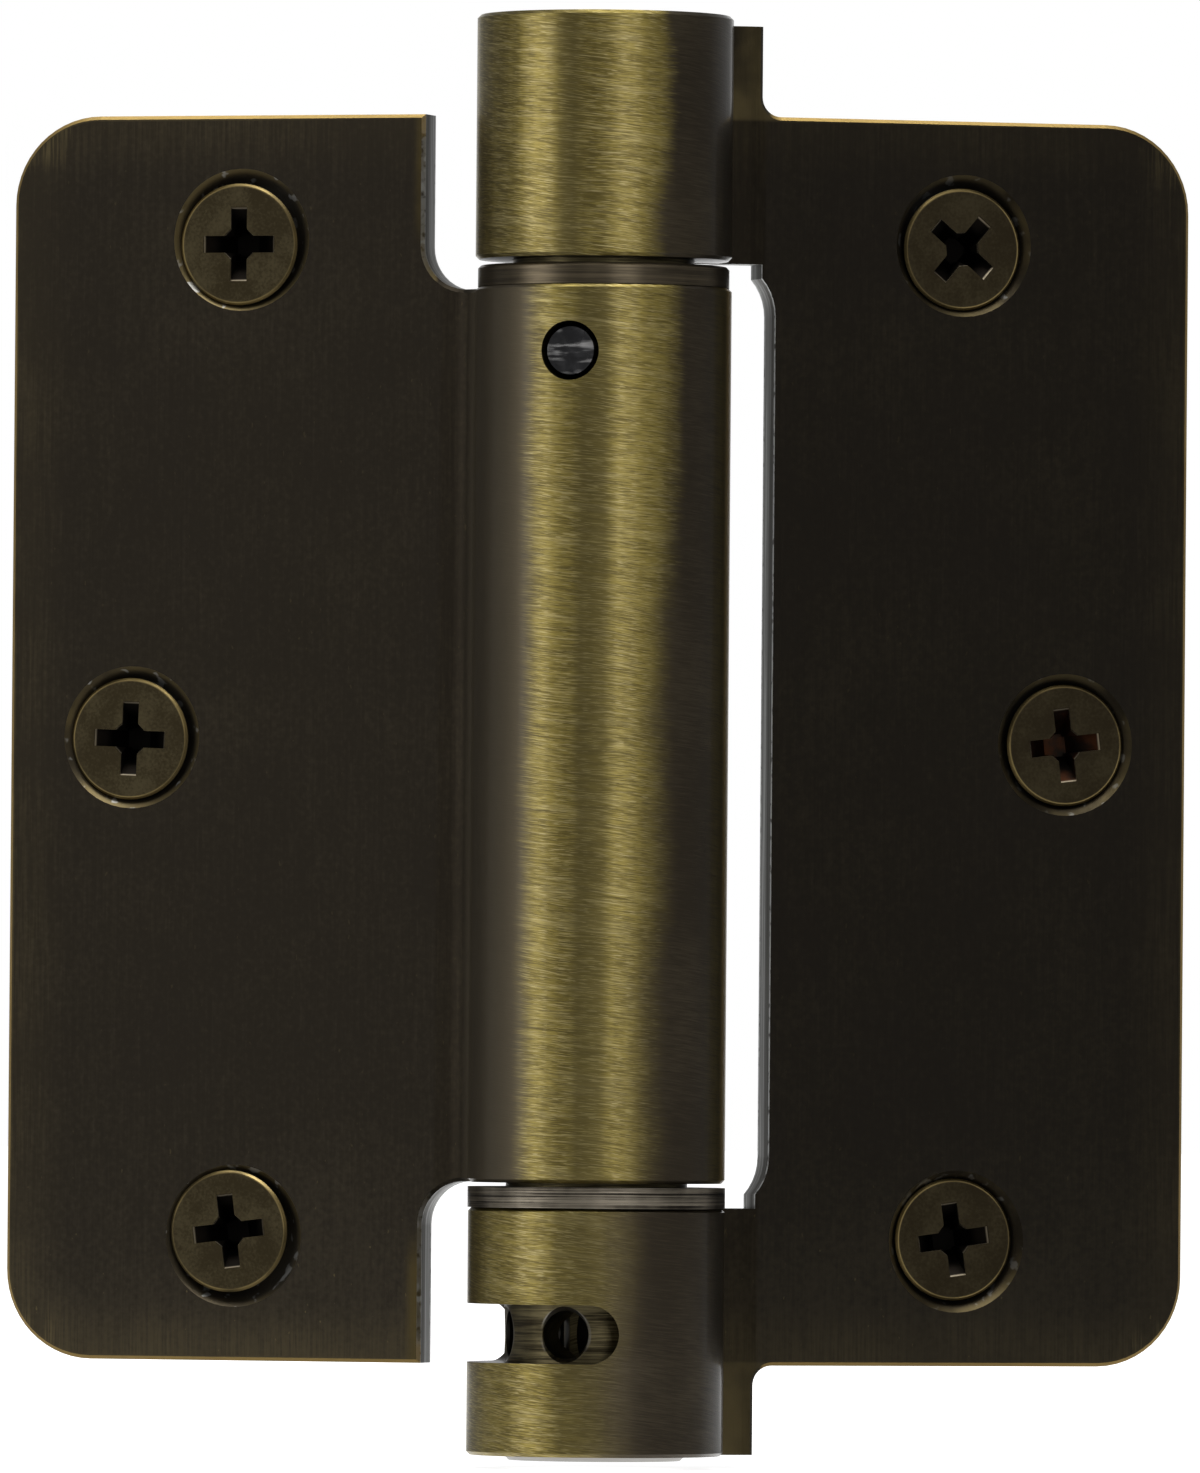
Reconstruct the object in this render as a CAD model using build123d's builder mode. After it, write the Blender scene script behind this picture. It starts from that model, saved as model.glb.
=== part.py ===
from build123d import *
from math import acos, atan2, cos, degrees, radians, sin, tan
import os

# Adjustable spring hinge for a house door, opened 35 degrees past flat.
# Origin on the swing axis at half the leaf height, +Z up along the axis,
# knuckle leaf along +X with its countersunk face towards -Y. Sizes in mm.
leaf_height = 88.9
leaf_reach = 44.45
sheet = 2.6
face_back = 1.0
corner_radius = 6.35
edge_break = 0.25
past_flat = 34.9

# rolled barrel and knuckles
roll_outer = 9.1
roll_bore = roll_outer - sheet
fold_reach = 11.3
barrel_bottom, barrel_top = -31.5, 31.95
knuckle_heights = {"top": (33.9, 51.25), "bottom": (-50.8, -33.28)}
roll_edge = 0.25
knuckle_curl_end, barrel_curl_end = 5, 22

# notch of the knuckle leaf round the barrel, notches of the barrel leaf round the knuckles
neck_reach = 12.2
neck_fillet = 1.4
neck_relief = 0.4
notch_reach = 13.22
notch_corner = 4.0
notch_step = 1.0
barrel_notches = {1: (barrel_top, 13.7), -1: (barrel_bottom, 13.35)}
barrel_notch_corner = 3.1

# screw holes
edge_hole_reach, edge_hole_height = 27.35, 35.55
middle_hole_reach = 35.3
sink_diameter = 10.15
sink_angle = 82
hole_diameter = 5.1

# window in the bottom knuckle and tension holes of the adjuster
window_middle = -42.15
window_height = 4.15
window_ends = (126, 249.5)
tension_hole = 3.4
tension_hole_height = -42.2
tension_hole_count = 6
tension_hole_depth = 4.4
first_tension_hole = 232.2
tension_hole_chamfer = 0.3

# anchor pin through the barrel wall
anchor_height = 27.2
anchor_direction = 236.8
anchor_hole = 4.2
anchor_diameter = 4.1
anchor_recess = 0.35
anchor_crown = (0.35, 1.1)
anchor_root = 2.0
anchor_hole_floor = 1.8

# parts inside the roll
running = 0.07
press = 0.02
core_radius = roll_bore - running
core_joint = 13.8
pivot_top = 50.8
end_chamfer = 0.4
adjuster_bottom = -45.8
plug_top, plug_bottom = -46.0, -51.15
ring_radius = 8.92
ring_heights = (31.95, 33.45)
ring_chamfer = 0.2
washer_radius = 9.13
washer_thickness = 0.36
washer_gap = 0.01
washer_count = 4
spring_wire = 2.6
tang_wire = 2.1
spring_radius = 5.0
spring_turns = 8
spring_half_length = 12.0
tang_height = 14.8
tang_length = 9.5
tang_slot_width = 2.4
tang_slot_floor = 16.1

# screws: flat head with cross recess, three quarters of an inch long, plain at the thread's core
head_diameter = 8.7
head_rim = 0.3
head_chamfer = 0.15
seat_gap = 0.02
shank_diameter = 3.1
screw_length = 19.0
point_length = 5.0
recess_span = 5.3
recess_wing = 1.2
recess_core = 1.7
recess_floor = 1.6
recess_depth = 2.3

# how near a size has to come to be told apart from another
close = 0.01

# sheet mid-line: the flat leaf and the circle that it is rolled round
sheet_mid = face_back + sheet / 2
roll_mid = roll_outer - sheet / 2

os.makedirs("parts", exist_ok=True)

# each leaf is drawn in a plan of its own, the barrel leaf's turned about the axis
root_plan = Plane.XY
swung_plan = Plane.XY.rotated((0, 0, -past_flat))


def leaf_face(plan):
    # countersunk face of a leaf, looked at from the front
    return Plane(origin=plan.y_dir * face_back, x_dir=plan.x_dir, z_dir=-plan.y_dir)


def radial(direction, height):
    # plane on the axis that faces outwards in a direction
    out = (cos(radians(direction)), sin(radians(direction)), 0)
    return Plane(origin=(0, 0, height), x_dir=(0, 0, 1), z_dir=out)


def rolled_edge(turn, end_angle):
    # plan of the neck and the curl with the leaf along +x:
    # turn +1 rolls the sheet behind the axis, -1 over the front
    bend = (fold_reach**2 + sheet_mid**2 - roll_mid**2) / (
        2 * (roll_mid - turn * sheet_mid)
    )
    middle = (fold_reach, sheet_mid + turn * bend)
    contact = degrees(atan2(middle[1], fold_reach))
    start, bend_sweep = -90 * turn, contact - 90 * turn
    curl_sweep = 360 * turn + end_angle - contact
    with BuildSketch() as section:
        with BuildLine():
            far = CenterArc(middle, bend + sheet / 2, start, bend_sweep)
            near = CenterArc(middle, bend - sheet / 2, start, bend_sweep)
            inner = CenterArc((0, 0), roll_bore, contact, curl_sweep)
            outer = CenterArc((0, 0), roll_outer, contact, curl_sweep)
            Line(inner @ 1, outer @ 1)
            far_end, near_end = far @ 0, near @ 0
            Polyline(
                far_end,
                (neck_reach, far_end.Y),
                (neck_reach, near_end.Y),
                near_end,
            )
        make_face()
    return section.sketch


def hole_places(side):
    return [
        (side * edge_hole_reach, edge_hole_height),
        (side * middle_hole_reach, 0),
        (side * edge_hole_reach, -edge_hole_height),
    ]


def face_edges(part, plan, side):
    # outline of the countersunk face away from the roll
    front = [
        e
        for e in part.edges()
        if abs(e.center().dot(plan.y_dir) - face_back) < close
        and e.center().dot(plan.x_dir) * side > notch_reach + notch_corner / 2
    ]
    return ShapeList(front)


def rim_edges(part):
    rims = part.edges().filter_by(GeomType.CIRCLE)
    return rims.filter_by(
        lambda e: abs(e.radius - roll_outer) < close and e.length > 2 * roll_outer
    )


# Knuckle leaf: sheet rolled behind the axis into a top and a bottom knuckle
with BuildPart() as knuckle_leaf:
    for low, high in knuckle_heights.values():
        with BuildSketch(root_plan.offset(low)):
            add(rolled_edge(1, knuckle_curl_end))
        extrude(amount=high - low)
    chamfer(rim_edges(knuckle_leaf), roll_edge)

    top, bottom = knuckle_heights["top"], knuckle_heights["bottom"]
    with BuildSketch(leaf_face(root_plan)) as outline:
        Polygon(
            (fold_reach, top[1]),
            (neck_reach, top[1]),
            (neck_reach, leaf_height / 2),
            (leaf_reach, leaf_height / 2),
            (leaf_reach, -leaf_height / 2),
            (neck_reach, -leaf_height / 2),
            (neck_reach, bottom[0]),
            (fold_reach, bottom[0]),
            align=None,
        )
        fillet(outline.vertices().group_by(Axis.X)[-1], corner_radius)
        steps = outline.vertices().filter_by(lambda v: abs(v.Y) < leaf_height / 2 + close)
        fillet(steps.group_by(Axis.X)[0], neck_fillet)
        # notch that the barrel turns in
        notch_arc = degrees(acos((neck_reach - notch_reach + notch_corner) / notch_corner))
        drop = notch_corner * sin(radians(notch_arc)) + notch_step
        centre = notch_reach - notch_corner
        with BuildLine():
            upper = CenterArc((centre, top[0] - drop), notch_corner, 0, notch_arc)
            lower = CenterArc((centre, bottom[1] + drop), notch_corner, 0, -notch_arc)
            Line(upper @ 0, lower @ 0)
            Polyline(
                upper @ 1,
                (neck_reach, top[0]),
                (fold_reach, top[0]),
                (fold_reach, bottom[1]),
                (neck_reach, bottom[1]),
                lower @ 1,
            )
        make_face(mode=Mode.SUBTRACT)
    extrude(amount=-sheet)
    # the top neck is a little lower than its knuckle
    with BuildSketch(Plane.XY.offset(top[1])):
        with Locations((roll_outer + neck_reach, sheet_mid)):
            Rectangle(2 * neck_reach, 2 * sheet)
    extrude(amount=-neck_relief, mode=Mode.SUBTRACT)
    chamfer(face_edges(knuckle_leaf, root_plan, 1), edge_break)

    with Locations(*[leaf_face(root_plan).location * Location((x, y)) for x, y in hole_places(1)]):
        CounterSinkHole(hole_diameter / 2, sink_diameter / 2, sheet, sink_angle)

    # window for the tension rod: a slice of the wall with rounded ends
    low_end, high_end = window_ends
    with BuildSketch(Plane.XY.offset(window_middle - window_height / 2)):
        with BuildLine():
            arc = CenterArc((0, 0), 2 * roll_outer, low_end, high_end - low_end)
            Line((0, 0), arc @ 0)
            Line((0, 0), arc @ 1)
        make_face()
    extrude(amount=window_height, mode=Mode.SUBTRACT)
    for end in window_ends:
        with BuildSketch(radial(end, window_middle)):
            Circle(window_height / 2)
        extrude(amount=2 * roll_outer, mode=Mode.SUBTRACT)
knuckle_leaf.part.label = "knuckle_leaf"
export_step(knuckle_leaf.part, "parts/knuckle_leaf.step")

# Barrel leaf: sheet rolled over the front into the long middle barrel
with BuildPart() as barrel_leaf:
    with BuildSketch(swung_plan.offset(barrel_bottom - barrel_notch_corner)):
        add(mirror(rolled_edge(-1, barrel_curl_end), about=Plane.YZ))
    extrude(amount=barrel_top - barrel_bottom + 2 * barrel_notch_corner)
    with BuildSketch(leaf_face(swung_plan)) as outline:
        with Locations((-(fold_reach + leaf_reach) / 2, 0)):
            Rectangle(leaf_reach - fold_reach, leaf_height)
        fillet(outline.vertices().group_by(Axis.X)[0], corner_radius)
    extrude(amount=-sheet)
    # notches that the knuckles turn in, cut through leaf and roll alike
    for up, (edge, reach) in barrel_notches.items():
        with BuildSketch(leaf_face(swung_plan)) as notch:
            Polygon(
                (-reach, edge),
                (-reach, edge + up * leaf_height),
                (2 * roll_outer, edge + up * leaf_height),
                (2 * roll_outer, edge),
                align=None,
            )
            fillet(notch.vertices().sort_by(lambda v: v.X + up * v.Y)[0], barrel_notch_corner)
        extrude(amount=2 * leaf_reach, both=True, mode=Mode.SUBTRACT)
    chamfer(rim_edges(barrel_leaf), roll_edge)
    chamfer(face_edges(barrel_leaf, swung_plan, -1), edge_break)

    with Locations(
        *[leaf_face(swung_plan).location * Location((x, y)) for x, y in hole_places(-1)]
    ):
        CounterSinkHole(hole_diameter / 2, sink_diameter / 2, sheet, sink_angle)
    with BuildSketch(radial(anchor_direction, anchor_height)):
        Circle(anchor_hole / 2)
    extrude(amount=2 * roll_outer, mode=Mode.SUBTRACT)
barrel_leaf.part.label = "barrel_leaf"
export_step(barrel_leaf.part, "parts/barrel_leaf.step")

# Pivot plug: turns in the top knuckle, pinned into the barrel, slotted for the spring
with BuildPart() as pivot_plug:
    with BuildSketch(Plane.XY.offset(core_joint)):
        Circle(core_radius)
    extrude(amount=pivot_top - core_joint)
    chamfer(pivot_plug.faces().sort_by(Axis.Z)[-1].edges(), end_chamfer)
    with BuildSketch(Plane.XY.offset(core_joint)):
        Rectangle(2 * roll_outer, tang_slot_width)
    extrude(amount=tang_slot_floor - core_joint, mode=Mode.SUBTRACT)
    with BuildSketch(radial(anchor_direction, anchor_height).offset(anchor_hole_floor)):
        Circle(anchor_hole / 2)
    extrude(amount=roll_outer, mode=Mode.SUBTRACT)
pivot_plug.part.label = "pivot_plug"
export_step(pivot_plug.part, "parts/pivot_plug.step")

# Anchor pin: holds the pivot plug in the barrel, its tapered end just below the surface
with BuildPart() as anchor_pin:
    with BuildSketch(radial(anchor_direction, anchor_height).offset(anchor_root)):
        Circle(anchor_diameter / 2)
    extrude(amount=roll_outer - anchor_recess - anchor_root)
    outward = Axis((0, 0, 0), radial(anchor_direction, anchor_height).z_dir)
    crown_face = anchor_pin.faces().sort_by(outward)[-1]
    chamfer(crown_face.edges(), *anchor_crown, reference=crown_face)
anchor_pin.part.label = "anchor_pin"
export_step(anchor_pin.part, "parts/anchor_pin.step")

# Bearing ring: carries the top knuckle on the barrel's upper end
with BuildPart() as bearing_ring:
    with BuildSketch(Plane.XY.offset(ring_heights[0])):
        Circle(ring_radius)
        Circle(roll_bore, mode=Mode.SUBTRACT)
    extrude(amount=ring_heights[1] - ring_heights[0])
    top_edges = bearing_ring.edges().group_by(Axis.Z)[-1]
    chamfer(top_edges.sort_by(SortBy.RADIUS)[-1], ring_chamfer)
bearing_ring.part.label = "bearing_ring"
export_step(bearing_ring.part, "parts/bearing_ring.step")

# Torsion spring: close coils of square wire with a round tang bent across each end
with BuildPart() as torsion_spring:
    pitch = 2 * spring_half_length / spring_turns
    with BuildLine(Plane.XY.offset(-spring_half_length)):
        coil = Helix(pitch=pitch, height=2 * spring_half_length, radius=spring_radius)
    with BuildSketch(Plane(origin=coil @ 0, z_dir=coil % 0)):
        Rectangle(spring_wire, spring_wire)
    sweep(is_frenet=True)
    for up in (1, -1):
        with BuildSketch(Plane.XY.offset(up * spring_half_length)):
            with Locations((spring_radius, 0)):
                Circle(tang_wire / 2)
        extrude(amount=up * (tang_height - spring_half_length))
        with BuildSketch(Plane.YZ.offset(spring_radius + tang_wire / 2)):
            with Locations((0, up * tang_height)):
                Circle(tang_wire / 2)
        extrude(amount=-tang_length)
torsion_spring.part.label = "torsion_spring"
export_step(torsion_spring.part, "parts/torsion_spring.step")

# Tension adjuster: turned with a rod in its radial holes, winds the spring from below
with BuildPart() as tension_adjuster:
    with BuildSketch(Plane.XY.offset(adjuster_bottom)):
        Circle(core_radius)
    extrude(amount=-core_joint - adjuster_bottom)
    with BuildSketch(Plane.XY.offset(-core_joint)):
        Rectangle(2 * roll_outer, tang_slot_width)
    extrude(amount=core_joint - tang_slot_floor, mode=Mode.SUBTRACT)
    for i in range(tension_hole_count):
        direction = first_tension_hole + i * 360 / tension_hole_count
        hole_plane = radial(direction, tension_hole_height)
        with BuildSketch(hole_plane.offset(core_radius - tension_hole_depth)):
            Circle(tension_hole / 2)
        extrude(amount=roll_outer, mode=Mode.SUBTRACT)
        with BuildSketch(hole_plane.offset(core_radius - tension_hole_chamfer)):
            Circle(tension_hole / 2)
        extrude(amount=2 * tension_hole_chamfer, taper=-45, mode=Mode.SUBTRACT)
tension_adjuster.part.label = "tension_adjuster"
export_step(tension_adjuster.part, "parts/tension_adjuster.step")

# Thrust washers: a stack under the barrel that carries the door
for i in range(washer_count):
    with BuildPart() as thrust_washer:
        low = knuckle_heights["bottom"][1] + washer_gap + i * (washer_thickness + washer_gap)
        with BuildSketch(Plane.XY.offset(low)):
            Circle(washer_radius)
            Circle(roll_bore, mode=Mode.SUBTRACT)
        extrude(amount=washer_thickness)
    thrust_washer.part.label = f"thrust_washer_{i + 1}"
    export_step(thrust_washer.part, f"parts/thrust_washer_{i + 1}.step")

# End plug: pressed into the bottom knuckle under the adjuster
with BuildPart() as end_plug:
    with BuildSketch(Plane.XY.offset(plug_bottom)):
        Circle(roll_bore - press)
    extrude(amount=plug_top - plug_bottom)
    chamfer(end_plug.faces().sort_by(Axis.Z)[0].edges(), end_chamfer)
end_plug.part.label = "end_plug"
export_step(end_plug.part, "parts/end_plug.step")

# Screw: flat head up, cross recess with wings that narrow to the middle
with BuildPart() as screw:
    half_angle = radians(sink_angle / 2)
    neck = head_rim + (head_diameter - shank_diameter) / 2 / tan(half_angle)
    with BuildSketch(Plane.XZ):
        Polygon(
            (0, 0),
            (head_diameter / 2 - head_chamfer, 0),
            (head_diameter / 2, -head_chamfer),
            (head_diameter / 2, -head_rim),
            (shank_diameter / 2, -neck),
            (shank_diameter / 2, point_length - screw_length),
            (0, -screw_length),
            align=None,
        )
    revolve(axis=Axis.Z)
    for plane in (Plane.XZ, Plane.YZ):
        with BuildSketch(plane):
            Polygon(
                (recess_span / 2, 0),
                (recess_floor / 2, -recess_depth),
                (-recess_floor / 2, -recess_depth),
                (-recess_span / 2, 0),
                align=None,
            )
        extrude(amount=recess_wing / 2, both=True, mode=Mode.SUBTRACT)
    # slanted corners between the wings
    with BuildSketch():
        RegularPolygon(recess_core, 4)
    slant = degrees(atan2((recess_core - recess_wing / 2) * cos(radians(45)), recess_depth))
    extrude(amount=-recess_depth, taper=slant, mode=Mode.SUBTRACT)

# where each screw sits: leaf, hole, lie in the countersink along the leaf and up, turn
screw_places = {
    "knuckle_top_screw": (root_plan, 1, 0, (-0.03, -0.24), 50),
    "knuckle_middle_screw": (root_plan, 1, 1, (0.13, -0.03), 7),
    "knuckle_bottom_screw": (root_plan, 1, 2, (-0.08, 0.14), 8),
    "barrel_top_screw": (swung_plan, -1, 0, (-0.24, -0.31), 0),
    "barrel_middle_screw": (swung_plan, -1, 1, (-0.24, -0.1), -2),
    "barrel_bottom_screw": (swung_plan, -1, 2, (-0.37, 0.33), 7),
}
for name, (plan, side, hole, (off_x, off_y), turn) in screw_places.items():
    x, y = hole_places(side)[hole]
    # a head off the middle of its countersink lies that much higher on the cone
    aside = (off_x**2 + off_y**2) ** 0.5
    slack = (sink_diameter - head_diameter) / 2 - aside - seat_gap
    depth = slack / tan(half_angle) - head_rim
    place = leaf_face(plan).location * Location((x + off_x, y + off_y, -depth), (0, 0, turn))
    placed = screw.part.moved(place)
    placed.label = name
    export_step(placed, f"parts/{name}.step")
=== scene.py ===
from math import cos, pi, radians, sin, tau

import bmesh
import bpy
from mathutils import Matrix, Vector


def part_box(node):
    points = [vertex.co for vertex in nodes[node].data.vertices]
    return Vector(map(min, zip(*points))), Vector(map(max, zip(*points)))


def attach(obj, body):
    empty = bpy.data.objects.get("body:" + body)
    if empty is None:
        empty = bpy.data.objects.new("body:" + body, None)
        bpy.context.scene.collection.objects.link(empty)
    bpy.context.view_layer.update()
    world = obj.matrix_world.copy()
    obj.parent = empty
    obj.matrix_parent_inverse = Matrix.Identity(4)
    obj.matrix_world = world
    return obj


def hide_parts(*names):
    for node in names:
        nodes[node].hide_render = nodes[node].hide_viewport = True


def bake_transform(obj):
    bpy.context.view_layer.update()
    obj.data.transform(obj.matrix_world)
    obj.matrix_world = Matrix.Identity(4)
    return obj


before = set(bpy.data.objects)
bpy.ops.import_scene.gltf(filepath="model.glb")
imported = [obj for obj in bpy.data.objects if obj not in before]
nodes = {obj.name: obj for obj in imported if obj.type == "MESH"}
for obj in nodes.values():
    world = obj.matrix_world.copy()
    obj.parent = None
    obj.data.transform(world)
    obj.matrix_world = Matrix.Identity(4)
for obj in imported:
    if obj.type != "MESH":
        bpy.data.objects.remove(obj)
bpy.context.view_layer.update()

# places worked out from the frame, in metres
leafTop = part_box("barrel_leaf")[1].z
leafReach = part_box("knuckle_leaf")[1].x
rollRadius = -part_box("knuckle_leaf")[0].x
coreRadius = -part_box("tension_adjuster")[0].x
lowest = min(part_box(name)[0].z for name in nodes)
cornerRadius = 0.00635
faceBack = 0.001  # how far the leaves' faces lie behind the swing axis
sheet = 0.0026  # thickness of the leaves

# directions along each leaf, away from the axis, and out of its face
pastFlat = radians(34.9)
rootAlong, rootFront = Vector((1, 0, 0)), Vector((0, -1, 0))
swungAlong = Vector((-cos(pastFlat), sin(pastFlat), 0))
swungFront = Vector((-sin(pastFlat), -cos(pastFlat), 0))
# the side of the rolls towards the camera, from which their wear, painted light and painted shade are
# measured, and the direction across it
cameraAzimuth = radians(-18)
towardCamera = Vector((sin(cameraAzimuth), -cos(cameraAzimuth), 0))
acrossCamera = Vector((cos(cameraAzimuth), sin(cameraAzimuth), 0))


class Wire:
    # a socket of a shader tree that can be used in sums
    def __init__(self, tree, socket):
        self.tree = tree
        self.socket = socket

    def math(self, operation, a, b=None):
        values = {0: a} if b is None else {0: a, 1: b}
        return self.tree.node("Math", {"operation": operation}, values)

    def __add__(self, other):
        return self.math("ADD", self, other)

    def __radd__(self, other):
        return self.math("ADD", other, self)

    def __sub__(self, other):
        return self.math("SUBTRACT", self, other)

    def __rsub__(self, other):
        return self.math("SUBTRACT", other, self)

    def __mul__(self, other):
        return self.math("MULTIPLY", self, other)

    def __rmul__(self, other):
        return self.math("MULTIPLY", other, self)

    def __truediv__(self, other):
        return self.math("DIVIDE", self, other)

    def __rtruediv__(self, other):
        return self.math("DIVIDE", other, self)

    def __pow__(self, other):
        return self.math("POWER", self, other)

    def __rpow__(self, other):
        return self.math("POWER", other, self)

    def abs(self):
        return self.math("ABSOLUTE", self)

    def fraction(self):
        return self.math("FRACT", self)

    def atLeast(self, other):
        return self.math("MAXIMUM", self, other)

    def atMost(self, other):
        return self.math("MINIMUM", self, other)

    def turnFrom(self, other):
        return self.math("ARCTAN2", self, other)

    def above(self, low, high):
        # 0 below low, 1 above high
        return self.tree.node(
            "MapRange", {"interpolation_type": "SMOOTHSTEP"}, {"Value": self, 1: low, 2: high}
        )

    def within(self, rise, fall):
        # 0 below the first pair, 1 between the two, 0 above the second
        return self.above(*rise) * (1 - self.above(*fall))


class Tree:
    # a node tree that hands its outputs out as wires
    def __init__(self, owner):
        owner.use_nodes = True
        self.nodes = owner.node_tree.nodes
        self.links = owner.node_tree.links
        self.nodes.clear()

    def node(self, kind, settings=None, inputs=None, output=0):
        made = self.nodes.new("ShaderNode" + kind)
        for name, value in (settings or {}).items():
            setattr(made, name, value)
        for name, value in (inputs or {}).items():
            if isinstance(value, Wire):
                self.links.new(value.socket, made.inputs[name])
            else:
                made.inputs[name].default_value = value
        return Wire(self, made.outputs[output]) if made.outputs else made

    def mix(self, factor, a, b, blend="MIX"):
        settings = {"data_type": "RGBA", "blend_type": blend}
        return self.node("Mix", settings, {0: factor, 6: a, 7: b}, 2)

    def layers(self, colour, look, masks):
        # each mask shows its tone over what is there already
        for mask, tone in masks:
            colour = self.mix(mask, colour, look[tone])
        return colour

    def noise(self, vector, scale, detail=3.0, roughness=0.5):
        values = {"Vector": vector, "Scale": scale, "Detail": detail, "Roughness": roughness}
        return self.node("TexNoise", {}, values)

    def streaks(self, parts, sizes, detail, roughness=0.5):
        # noise with a size of its own along each of three directions
        stretched = self.join(*[part * size for part, size in zip(parts, sizes)])
        return self.noise(stretched, 1.0, detail, roughness)

    def place(self):
        return self.node("TexCoord", {}, {}, 3)

    def facing(self, direction):
        # how far the surface faces a direction of the piece itself, 1 to -1
        return self.along(self.node("TexCoord", {}, {}, 1), direction)

    def vector(self, operation, a, b=None, output=0):
        values = {0: a} if b is None else {0: a, 1: b if isinstance(b, Wire) else tuple(b)}
        return self.node("VectorMath", {"operation": operation}, values, output)

    def along(self, place, direction):
        return self.vector("DOT_PRODUCT", place, direction, 1)

    def lightPath(self, name):
        return self.node("LightPath", {}, {}, name)

    def join(self, x, y, z):
        return self.node("CombineXYZ", {}, {0: x, 1: y, 2: z})

    def split(self, vector):
        made = self.node("SeparateXYZ", {}, {0: vector}).socket.node
        return [Wire(self, made.outputs[i]) for i in range(3)]

    def bump(self, height, strength, distance=0.00005):
        values = {"Strength": strength, "Distance": distance, "Height": height}
        return self.node("Bump", {}, values)

    def finish(self, **values):
        inputs = {name.replace("_", " "): value for name, value in values.items()}
        shader = self.node("BsdfPrincipled", {}, inputs)
        self.node("OutputMaterial", {}, {"Surface": shader})


def between(share, low, high):
    # low where the share is 0, high where it is 1
    return low + share * (high - low)


def newMaterial(name):
    material = bpy.data.materials.new(name)
    return material, Tree(material)


def dress(material, *names):
    for name in names:
        slots = nodes[name].data.materials
        slots.clear()
        slots.append(material)


# Leaf plating: dark antique brass under lacquer, with gold on the rolls that is partly brushed-through
# wear and partly painted reflection
leafLook = {
    "flat": (0.0238, 0.0195, 0.0138, 1),
    "flatLight": (0.0439, 0.0359, 0.0232, 1),
    "patina": (0.0372, 0.0292, 0.0186, 1),
    "patinaLight": (0.078, 0.0629, 0.0393, 1),
    "patinaFar": (0.108, 0.089, 0.058, 1),
    "crease": (0.12, 0.1, 0.068, 1),
    "gold": (0.2659, 0.2094, 0.0548, 1),
    "goldDark": (0.1158, 0.0896, 0.0251, 1),
    "scratch": (0.435, 0.365, 0.17, 1),
    "strip": (0.1, 0.08, 0.028, 1),
    "outline": (0.42, 0.29, 0.1, 1),
    "worn": (0.1712, 0.1335, 0.0605, 1),
    "cut": (0.24, 0.24, 0.232, 1),
    "cutFront": (0.05, 0.046, 0.036, 1),
    "besideCut": (0.085, 0.062, 0.02, 1),
    "paintedHighlight": (0.5607, 0.5701, 0.5607, 1),
    "flatRoughness": 0.42,
    "patinaRoughness": 0.36,
    "goldRoughness": 0.31,
    "lacquer": 0.14,
    "lacquerRoughness": 0.14,
    "brushTilt": 0.1,
    "brushWave": 0.0006,
    "flatBump": 0.28,
    "rollBump": 0.14,
}
# wear and painted light of each leaf: its gold stretch, partly brushed wear and partly painted reflection,
# and a darker strip of painted shade, in degrees round the roll, with their softness and widths in
# radians, then how strongly each kind of wear and of painted light and shade shows
leafWearAndLight = {
    # shade is painted shade on the flats; farSide lights the far side and the crease with painted light
    # and sets the rub beside the notches; warmEdge is a painted reflection on the right edge
    "knuckle_leaf": {
        "startTop": -95,
        "startBottom": -95,
        "endTop": 29,
        "endBottom": -2,
        "soft": 0.34,
        "strip": -16,
        "stripWidth": 0.03,
        "lowStrip": -2,
        "lowStripWidth": 0.22,
        "lowStripShare": 0.6,
        "shade": 0.47,
        "farSide": 0.0,
        "warmEdge": 0.0,
        "edgeCoat": 2.5,
        "rub": 0.35,
    },
    "barrel_leaf": {
        "startTop": -30,
        "startBottom": -34,
        "endTop": 37,
        "endBottom": 15,
        "soft": 0.2,
        "strip": -4,
        "stripWidth": 0.07,
        "lowStrip": -4,
        "lowStripWidth": 0.07,
        "lowStripShare": 1.0,
        "shade": 0.93,
        "farSide": 1.0,
        "warmEdge": 0.7,
        "edgeCoat": 0.6,
        "rub": 0.7,
    },
}
# sizes of the noise, as changes a metre; three where the marks are drawn out
leafMarks = {
    "cloud": 95,
    "wave": 130,
    "glint": 900,
    "chips": 1800,
    "speck": 2600,
    "flatGrain": (5200, 5200, 160),
    "nicks": (3000, 3000, 1500),
    "cutLines": (5200, 500, 70),
    "rollGrain": (520, 520, 12000),
    "rollFine": (1000, 1000, 19000),
    "rollScratch": (210, 210, 9000),
    "rollDrift": (110, 110, 900),
    "rollStripes": (420, 420, 24),
}
# where each mask fades, in metres: radius and reach are from the axis, height is from the middle,
# inset is from the outline, and a negative depth is inside the front or the back face
leafPlaces = {
    "rollRadius": (rollRadius + 0.0001, rollRadius + 0.0006),
    "creaseRadius": (rollRadius + 0.0003, rollRadius + 0.0013),
    "neckReach": ((0.0086, 0.009), (0.0122, 0.0126)),
    "notchStart": (0.0098, 0.0102),
    "notchEnd": (0.0145, 0.015),
    "besideNotchReach": ((0.0128, 0.013), (0.0138, 0.0147)),
    "flatReach": (0.0126, 0.013),
    "lowEndHeight": (leafTop * 0.55, leafTop * 1.05),
    "besideNotchHeight": (0.0345, 0.0385),
    "notchHeight": (leafTop - 0.003, leafTop - 0.002),
    "lineInset": (0.0001, 0.0005),
    "bandInset": (0.0005, 0.005),
    "cornerInset": (0.0, 0.006),
    "cornerStart": (0.0005, 0.005),
    "sinkInset": (0.001, 0.002),
    "frontDepth": (-0.00035, -0.00022),
    "backDepth": (-0.00035, -0.0002),
    "slantDepth": (-0.0006, -0.0001),
}
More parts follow.
